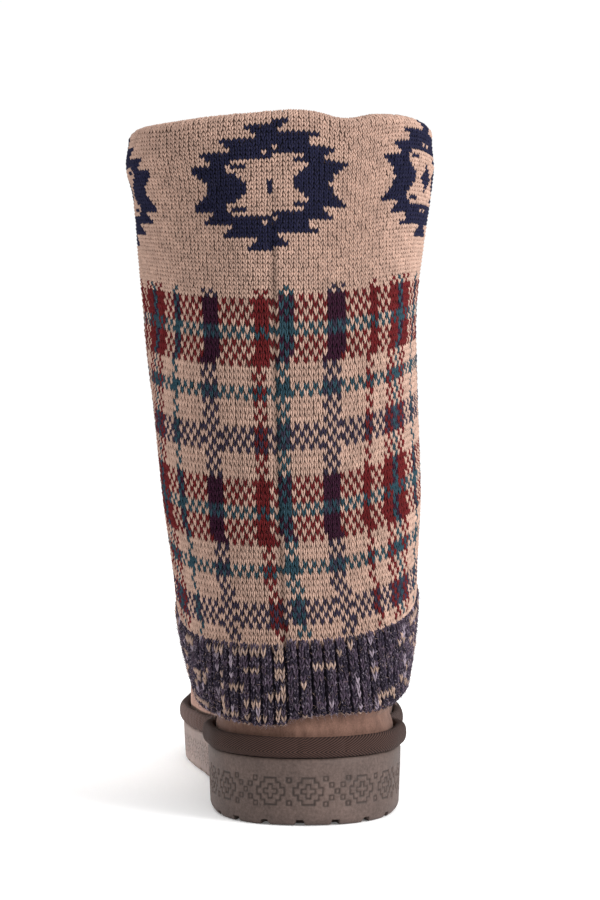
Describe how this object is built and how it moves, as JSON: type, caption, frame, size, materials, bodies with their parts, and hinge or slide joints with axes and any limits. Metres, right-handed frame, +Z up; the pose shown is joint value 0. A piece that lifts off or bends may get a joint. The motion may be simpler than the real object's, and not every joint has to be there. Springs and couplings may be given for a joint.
{
  "type": "pull-on knit sleeve boot",
  "caption": "Pull-on winter boot: suede foot, textile shaft under a loose knitted sleeve with a ribbed cuff, padded binding roll and a thick moulded sole.",
  "frame": {"origin": "on the ground under the middle of the heel", "axes": "+Z up, +Y towards the toe, +X towards the outer (lateral) side of the right foot"},
  "size_m": [0.1342, 0.2783, 0.2914],
  "materials": {
    "sole_rubber": "matt moulded rubber with a faint speckle",
    "insole_fabric": "brushed pile",
    "binding_tape": "herringbone tape over a padded core",
    "suede": "short suede nap",
    "knit": "stocking stitch in several yarns, ribbed at the ankle"
  },
  "bodies": {
    "root": {"outsole": "sole_rubber", "insole": "insole_fabric", "binding_roll": "binding_tape", "upper": "suede", "knit_sleeve": "knit"}
  },
  "joints": []
}
